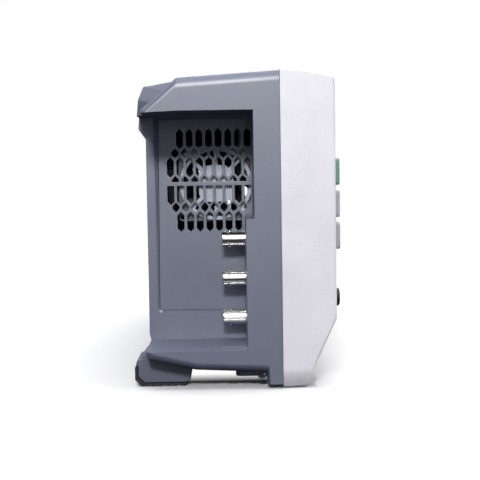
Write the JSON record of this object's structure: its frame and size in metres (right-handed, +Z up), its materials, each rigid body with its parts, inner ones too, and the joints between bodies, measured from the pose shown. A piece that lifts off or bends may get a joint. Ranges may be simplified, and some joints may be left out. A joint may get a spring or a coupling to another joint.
{
  "type": "function generator",
  "caption": "Bench function generator: off-white bezel with screen, keypad and knob, slate rear cover with a corner connector bay, vented fan, feet and folding tilt legs.",
  "frame": {"origin": "centre of the footprint, on the surface it stands on", "axes": "+Z up, the front with the screen faces -Y, +X to the right of someone facing the front"},
  "size_m": [0.36, 0.141, 0.196],
  "materials": {
    "bezel_white": "fine textured off-white ABS",
    "cover_slate": "fine textured slate blue-grey ABS",
    "foot_slate": "dark slate ABS",
    "rubber": "black rubber",
    "black_plastic": "black plastic",
    "gloss_black": "gloss black plastic",
    "key_green": "translucent green key cap",
    "key_grey": "mid-grey key cap",
    "screen": "black-bordered touch glass",
    "nickel": "bright nickel plate",
    "insulator": "white insulator",
    "steel": "zinc-plated steel",
    "board": "green solder-masked board"
  },
  "bodies": {
    "housing": {"bottom_bay_insulator": "insulator", "bottom_bay_jack": "nickel", "cover_screw_1": "steel", "cover_screw_2": "steel", "cover_screw_3": "steel", "cover_screw_4": "steel", "display_module": "steel", "display_window": "screen", "fan_frame": "black_plastic", "fan_guard": "steel", "front_bezel": "bezel_white", "front_pad_left": "rubber", "front_pad_right": "rubber", "key_board": "board", "knob_encoder": "steel", "lan_socket": "steel", "main_board": "board", "mains_inlet": "black_plastic", "middle_bay_insulator": "insulator", "middle_bay_jack": "nickel", "output_1_insulator": "insulator", "output_1_jack": "nickel", "output_2_insulator": "insulator", "output_2_jack": "nickel", "power_supply": "board", "rear_cover": "cover_slate", "rear_foot_left": "foot_slate", "rear_foot_right": "foot_slate", "rear_pad_left": "rubber", "rear_pad_right": "rubber", "top_bay_insulator": "insulator", "top_bay_jack": "nickel", "usb_device_port": "steel", "usb_host_port": "steel", "vent_panel": "cover_slate"},
    "run_key": {"run_key": "key_green"},
    "mode_key": {"mode_key": "key_grey"},
    "store_key": {"store_key": "key_grey"},
    "power_button": {"power_button": "gloss_black"},
    "key_7": {"key_7": "key_grey"},
    "key_8": {"key_8": "key_grey"},
    "key_9": {"key_9": "key_grey"},
    "key_4": {"key_4": "key_grey"},
    "key_5": {"key_5": "key_grey"},
    "key_6": {"key_6": "key_grey"},
    "key_1": {"key_1": "key_grey"},
    "key_2": {"key_2": "key_grey"},
    "key_3": {"key_3": "key_grey"},
    "key_point": {"key_point": "key_grey"},
    "key_0": {"key_0": "key_grey"},
    "key_sign": {"key_sign": "key_grey"},
    "arrow_left_key": {"arrow_left_key": "key_grey"},
    "arrow_right_key": {"arrow_right_key": "key_grey"},
    "output_1_key": {"output_1_key": "key_grey"},
    "output_2_key": {"output_2_key": "key_grey"},
    "control_knob": {"control_knob": "key_grey"},
    "fan_rotor": {"fan_rotor": "black_plastic"},
    "mains_switch": {"mains_switch": "black_plastic"},
    "tilt_leg_left": {"tilt_leg_left": "foot_slate"},
    "tilt_leg_right": {"tilt_leg_right": "foot_slate"}
  },
  "joints": [
    {"name": "run_key_press", "type": "slide", "parent": "housing", "child": "run_key", "axis": [0, 1, 0], "range_m": [0, 0.0012], "stiffness_N_per_m": 400, "springref_m": -0.002},
    {"name": "mode_key_press", "type": "slide", "parent": "housing", "child": "mode_key", "axis": [0, 1, 0], "range_m": [0, 0.0012], "stiffness_N_per_m": 400, "springref_m": -0.002},
    {"name": "store_key_press", "type": "slide", "parent": "housing", "child": "store_key", "axis": [0, 1, 0], "range_m": [0, 0.0012], "stiffness_N_per_m": 400, "springref_m": -0.002},
    {"name": "power_button_press", "type": "slide", "parent": "housing", "child": "power_button", "axis": [0, 1, 0], "range_m": [0, 0.0012], "stiffness_N_per_m": 400, "springref_m": -0.002},
    {"name": "key_7_press", "type": "slide", "parent": "housing", "child": "key_7", "axis": [0, 1, 0], "range_m": [0, 0.0012], "stiffness_N_per_m": 400, "springref_m": -0.002},
    {"name": "key_8_press", "type": "slide", "parent": "housing", "child": "key_8", "axis": [0, 1, 0], "range_m": [0, 0.0012], "stiffness_N_per_m": 400, "springref_m": -0.002},
    {"name": "key_9_press", "type": "slide", "parent": "housing", "child": "key_9", "axis": [0, 1, 0], "range_m": [0, 0.0012], "stiffness_N_per_m": 400, "springref_m": -0.002},
    {"name": "key_4_press", "type": "slide", "parent": "housing", "child": "key_4", "axis": [0, 1, 0], "range_m": [0, 0.0012], "stiffness_N_per_m": 400, "springref_m": -0.002},
    {"name": "key_5_press", "type": "slide", "parent": "housing", "child": "key_5", "axis": [0, 1, 0], "range_m": [0, 0.0012], "stiffness_N_per_m": 400, "springref_m": -0.002},
    {"name": "key_6_press", "type": "slide", "parent": "housing", "child": "key_6", "axis": [0, 1, 0], "range_m": [0, 0.0012], "stiffness_N_per_m": 400, "springref_m": -0.002},
    {"name": "key_1_press", "type": "slide", "parent": "housing", "child": "key_1", "axis": [0, 1, 0], "range_m": [0, 0.0012], "stiffness_N_per_m": 400, "springref_m": -0.002},
    {"name": "key_2_press", "type": "slide", "parent": "housing", "child": "key_2", "axis": [0, 1, 0], "range_m": [0, 0.0012], "stiffness_N_per_m": 400, "springref_m": -0.002},
    {"name": "key_3_press", "type": "slide", "parent": "housing", "child": "key_3", "axis": [0, 1, 0], "range_m": [0, 0.0012], "stiffness_N_per_m": 400, "springref_m": -0.002},
    {"name": "key_point_press", "type": "slide", "parent": "housing", "child": "key_point", "axis": [0, 1, 0], "range_m": [0, 0.0012], "stiffness_N_per_m": 400, "springref_m": -0.002},
    {"name": "key_0_press", "type": "slide", "parent": "housing", "child": "key_0", "axis": [0, 1, 0], "range_m": [0, 0.0012], "stiffness_N_per_m": 400, "springref_m": -0.002},
    {"name": "key_sign_press", "type": "slide", "parent": "housing", "child": "key_sign", "axis": [0, 1, 0], "range_m": [0, 0.0012], "stiffness_N_per_m": 400, "springref_m": -0.002},
    {"name": "arrow_left_key_press", "type": "slide", "parent": "housing", "child": "arrow_left_key", "axis": [0, 1, 0], "range_m": [0, 0.0012], "stiffness_N_per_m": 400, "springref_m": -0.002},
    {"name": "arrow_right_key_press", "type": "slide", "parent": "housing", "child": "arrow_right_key", "axis": [0, 1, 0], "range_m": [0, 0.0012], "stiffness_N_per_m": 400, "springref_m": -0.002},
    {"name": "output_1_key_press", "type": "slide", "parent": "housing", "child": "output_1_key", "axis": [0, 1, 0], "range_m": [0, 0.0012], "stiffness_N_per_m": 400, "springref_m": -0.002},
    {"name": "output_2_key_press", "type": "slide", "parent": "housing", "child": "output_2_key", "axis": [0, 1, 0], "range_m": [0, 0.0012], "stiffness_N_per_m": 400, "springref_m": -0.002},
    {"name": "control_knob_turn", "type": "hinge", "parent": "housing", "child": "control_knob", "pos_m": [0.14, -0.0555, 0.156], "axis": [0, -1, 0], "continuous": true},
    {"name": "fan_rotor_spin", "type": "hinge", "parent": "housing", "child": "fan_rotor", "pos_m": [-0.1151, 0.018, 0.1264], "axis": [1, 0, 0], "continuous": true},
    {"name": "mains_switch_rock", "type": "hinge", "parent": "housing", "child": "mains_switch", "pos_m": [0.118, 0.0635, 0.0805], "axis": [1, 0, 0], "range_deg": [0, 16]},
    {"name": "tilt_leg_left_fold", "type": "hinge", "parent": "housing", "child": "tilt_leg_left", "pos_m": [-0.144, -0.0093, 0.0068], "axis": [-1, 0, 0], "range_deg": [0, 95]},
    {"name": "tilt_leg_right_fold", "type": "hinge", "parent": "housing", "child": "tilt_leg_right", "pos_m": [0.144, -0.0093, 0.0068], "axis": [-1, 0, 0], "range_deg": [0, 95]}
  ]
}
